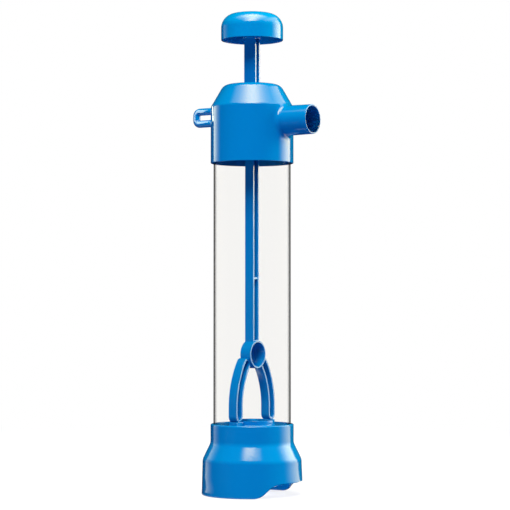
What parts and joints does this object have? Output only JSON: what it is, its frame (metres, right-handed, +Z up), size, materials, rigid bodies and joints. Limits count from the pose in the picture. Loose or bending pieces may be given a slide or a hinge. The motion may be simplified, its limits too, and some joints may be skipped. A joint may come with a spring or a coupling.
{
  "type": "hand water pump toy",
  "caption": "Upright hand lift pump with a clear barrel: pulling the knob raises a forked plunger and piston, and water leaves by a side spout.",
  "frame": {"origin": "on the floor under the barrel's axis, midway between the tips of the spout and the hanging eye", "axes": "+Z up along the barrel, +X the way the spout points, +Y to the left of the spout"},
  "size_m": [0.125, 0.0872, 0.4175],
  "materials": {
    "blue_shell": "glossy blue moulded plastic",
    "blue_knob": "glossy blue moulded plastic",
    "blue_plunger": "satin blue moulded plastic",
    "blue_inner": "satin blue moulded plastic",
    "clear_barrel": "clear polished plastic",
    "seal_rubber": "smooth dark rubber",
    "valve_rubber": "smooth dark rubber"
  },
  "bodies": {
    "barrel": {"barrel_tube": "clear_barrel", "head_cap": "blue_shell", "base_foot": "blue_shell", "foot_valve_seat": "blue_inner", "foot_valve_pin": "blue_inner", "tube_gasket": "seal_rubber"},
    "plunger": {"plunger_rod": "blue_plunger", "knob": "blue_knob", "piston_body": "blue_inner", "piston_seal": "seal_rubber", "piston_valve_pin": "blue_inner"},
    "piston_valve": {"piston_valve_disc": "valve_rubber"},
    "foot_valve": {"foot_valve_disc": "valve_rubber"}
  },
  "joints": [
    {"name": "plunger_slide", "type": "slide", "parent": "barrel", "child": "plunger", "axis": [0, 0, 1], "range_m": [0, 0.2199]},
    {"name": "piston_valve_lift", "type": "slide", "parent": "plunger", "child": "piston_valve", "axis": [0, 0, 1], "range_m": [0, 0.0016]},
    {"name": "foot_valve_lift", "type": "slide", "parent": "barrel", "child": "foot_valve", "axis": [0, 0, 1], "range_m": [0, 0.0022]}
  ]
}
